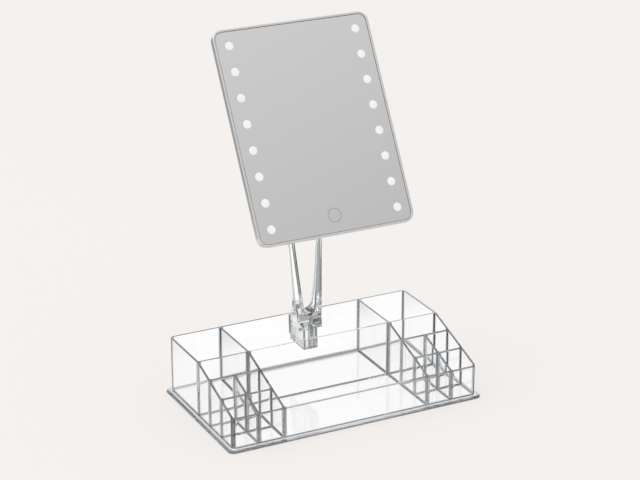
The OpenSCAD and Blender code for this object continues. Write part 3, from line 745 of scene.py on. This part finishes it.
# Mirror: float glass with a polished edge and the sixteen light windows let into it
lights = {
    "rows": 8,
    "pitch": 26.5 * mm,
    "inset": 16 * mm,
    "diameter": 8.8 * mm,
    "holeGap": 0.05 * mm,
    "recess": 0.02 * mm,     # the windows' faces behind the mirror's
    "edgeRound": 0.12 * mm,
    "ringDiameter": 15 * mm,
    "ringLine": 1.2 * mm,
    "ringUp": 19.7 * mm,     # its middle above the head's lower edge
    "ringDepth": 0.2 * mm,
    "ringInk": 0.03 * mm,
}
lightX = head["width"] / 2 - lights["inset"]
lightRadius = lights["diameter"] / 2
lightPlaces = [(x, (row - (lights["rows"] - 1) / 2) * lights["pitch"])
               for x in (-lightX, lightX) for row in range(lights["rows"])]
mirrorPane = headSlab("mirrorPane", head["rim"] + head["paneGap"], head["glassFront"],
                      head["glassBack"])
firstHole = addRod("holes", 0, 0, -head["glassBack"] - overlap, 0, lightRadius + lights["holeGap"], 40)
holes = joinAll("holes", [copyOf(firstHole, "hole", (x, y, 0)) for x, y in lightPlaces])
bpy.data.objects.remove(firstHole)
carve(mirrorPane, holes)
tidyMesh(mirrorPane, 0.5)
roundEdges(mirrorPane, head["paneRound"], 2)
lean(mirrorPane)
dress(mirrorPane, "head", silveredGlass, "mirror", "mirror_glass")

firstDot = addRod("dot", 0, 0, -head["glassBack"], -head["glassFront"] - lights["recess"],
                  lightRadius, 40)
pick(firstDot, "EDGE", lambda a, b: abs(a.z - b.z) < hair)
bpy.ops.mesh.bevel(offset=lights["edgeRound"], segments=2, profile=0.5, affect="EDGES")
backToObject(firstDot)
lightDots = joinAll("lightDots", [copyOf(firstDot, "dot", (x, y, 0)) for x, y in lightPlaces])
bpy.data.objects.remove(firstDot)
selectOnly(lightDots)
bpy.ops.object.shade_smooth_by_angle(angle=crease)
lean(lightDots)
dress(lightDots, "head", etchedWindow, "window", "light_windows")

# Touch ring: a printed line, raised by the thickness of its ink
ringY = lights["ringUp"] - head["height"] / 2
touchRing = addRod("touchRing", 0, ringY, -head["glassFront"] - lights["ringDepth"],
                   -head["glassFront"] + lights["ringInk"], lights["ringDiameter"] / 2, 64)
pick(touchRing, "FACE", lambda centre, normal: abs(normal.z) > 0.9)
bpy.ops.mesh.inset(thickness=lights["ringLine"])
bpy.ops.mesh.bridge_edge_loops()
backToObject(touchRing)
lean(touchRing)
dress(touchRing, "head", ringInk, "ring_print", "touch_ring")
print("mirror head: frame, glass, lights and ring")

# Back cover: a thin shell with a raised housing over the cells and the control board

cover = {
    "inset": 0.5 * mm,
    "back": 7.8 * mm,
    "wall": 2.2 * mm,
    "edgeRound": 0.3 * mm,
    "housingHalf": 46 * mm,
    "housingLow": -34.1 * mm,
    "housingHigh": 91.9 * mm,
    "housingStart": 0.2 * mm,  # behind the cover's front face
    "housingBack": 23.4 * mm,
    "housingCorner": 14 * mm,
    "housingBevel": 4.4 * mm,
    "doorFront": 21.4 * mm,
    "doorHalf": 33.1 * mm,
    "doorLow": 27 * mm,
    "doorReach": 20 * mm,      # how far the door's opening is cut past the housing's top
    "doorLip": 1.2 * mm,
    "lipThickness": 0.8 * mm,
    "gap": 0.3 * mm,
    "screwX": 79.55 * mm,
    "screwY": 103.3 * mm,
    "seatRadius": 2.8 * mm,
    "seatDepth": 1.0 * mm,
    "holeRadius": 1.55 * mm,
}
ridges = {  # for a finger, across the top of the door
    "count": 4,
    "pitch": 3 * mm,
    "half": 11 * mm,
    "low": 79.3 * mm,
    "high": 80.5 * mm,
    "front": 23.2 * mm,
    "back": 24.0 * mm,
    "corner": 0.5 * mm,
}


def housingShape(name, inset, front, back):
    low = (-cover["housingHalf"] + inset, cover["housingLow"] + inset, -back)
    high = (cover["housingHalf"] - inset, cover["housingHigh"] - inset, -front)
    shape = roundedSlab(name, low, high, cover["housingCorner"] - inset, 8)
    pick(shape, "EDGE", lambda a, b: max(a.z, b.z) < -back + hair)
    bpy.ops.mesh.bevel(offset=cover["housingBevel"], segments=1, affect="EDGES")
    return backToObject(shape)


def doorSpace(name, grow):
    x, y = cover["doorHalf"] + grow, cover["doorLow"] - grow
    top = cover["housingHigh"] + cover["doorReach"]
    panel = addBlock(name, (-x, y, -cover["housingBack"] - overlap), (x, top, -cover["doorFront"]))
    lip = cover["doorLip"]
    deep = -cover["doorFront"] - cover["lipThickness"] - grow / 3
    lips = addBlock(name, (-x - lip, y, deep), (x + lip, top, -cover["doorFront"] + hair))
    carve(panel, lips, "UNION")
    return panel


rearCover = headSlab("rearCover", cover["inset"], head["depth"], cover["back"])
housingFront = head["depth"] + cover["housingStart"]
carve(rearCover, housingShape("housing", 0, housingFront, cover["housingBack"]), "UNION")
carve(rearCover, housingShape("hollow", cover["wall"], head["depth"] - overlap, cover["doorFront"]))
carve(rearCover, doorSpace("doorSpace", cover["gap"]))
outside = -cover["back"] - overlap
seatFloor = -cover["back"] + cover["seatDepth"]
holeEnd = -head["depth"] + overlap
corners = [(x * cover["screwX"], y * cover["screwY"]) for x in (-1, 1) for y in (-1, 1)]
for x, y in corners:
    carve(rearCover, addRod("screwSeat", x, y, outside, seatFloor, cover["seatRadius"], 32))
    carve(rearCover, addRod("screwHole", x, y, outside, holeEnd, cover["holeRadius"], 24))
tidyMesh(rearCover, 0.5)
roundEdges(rearCover, cover["edgeRound"], 2)
lean(rearCover)
dress(rearCover, "head", greyAbs, "grey_plastic", "back_cover")

batteryDoor = housingShape("batteryDoor", 0, head["depth"], cover["housingBack"])
carve(batteryDoor, doorSpace("doorSpace", 0), "INTERSECT")
firstRidge = roundedSlab("ridge", (-ridges["half"], ridges["low"], -ridges["back"]),
                         (ridges["half"], ridges["high"], -ridges["front"]), ridges["corner"], 4)
for step in range(ridges["count"]):
    carve(batteryDoor, copyOf(firstRidge, "ridge", (0, -ridges["pitch"] * step, 0)), "UNION")
bpy.data.objects.remove(firstRidge)
tidyMesh(batteryDoor, 0.5)
roundEdges(batteryDoor, cover["edgeRound"], 2)
lean(batteryDoor)
dress(batteryDoor, "battery_door", greyAbs, "grey_plastic", "battery_door")
print("back cover and battery door ready")

# Hinge, screws and cells: the CAD shapes, with their edges rounded by the last number, in mm
for nodeName, name, body, material, slotName, radius in (
        ("hinge_bracket", "hingeBracket", "head", silverLacquer, "silver_plastic", 0.35),
        ("hinge_bolt", "hingeBolt", "stand", nickelSteel, "steel", 0.3),
        ("hinge_nut", "hingeNut", "stand", nickelSteel, "steel", 0.25),
        ("back_screws", "coverScrews", "head", nickelSteel, "steel", 0.12),
        ("bracket_screws", "bracketScrews", "head", nickelSteel, "steel", 0.15),
        ("battery_cells", "batteryCells", "head", cellWrap, "cell", 0.4)):
    piece = mergedCopy(nodeName, name)
    roundEdges(piece, radius * mm, 2)
    dress(piece, body, material, slotName, nodeName)
print("hinge, screws and cells ready")

# Hidden pieces keep their CAD shapes
for nodeName, material in (
        ("friction_washers", nylon), ("touch_sensor", solderMask),
        ("left_light_strip", whiteStyrene), ("right_light_strip", whiteStyrene),
        ("light_chips", chipSilicone), ("inner_tray", whiteStyrene),
        ("control_board", solderMask), ("lead_wires", wirePvc),
        ("battery_bay", blackAbs), ("battery_contacts", nickelSteel)):
    mesh = nodes[nodeName].data
    mesh.materials.clear()
    mesh.materials.append(material)
print("hidden pieces finished")
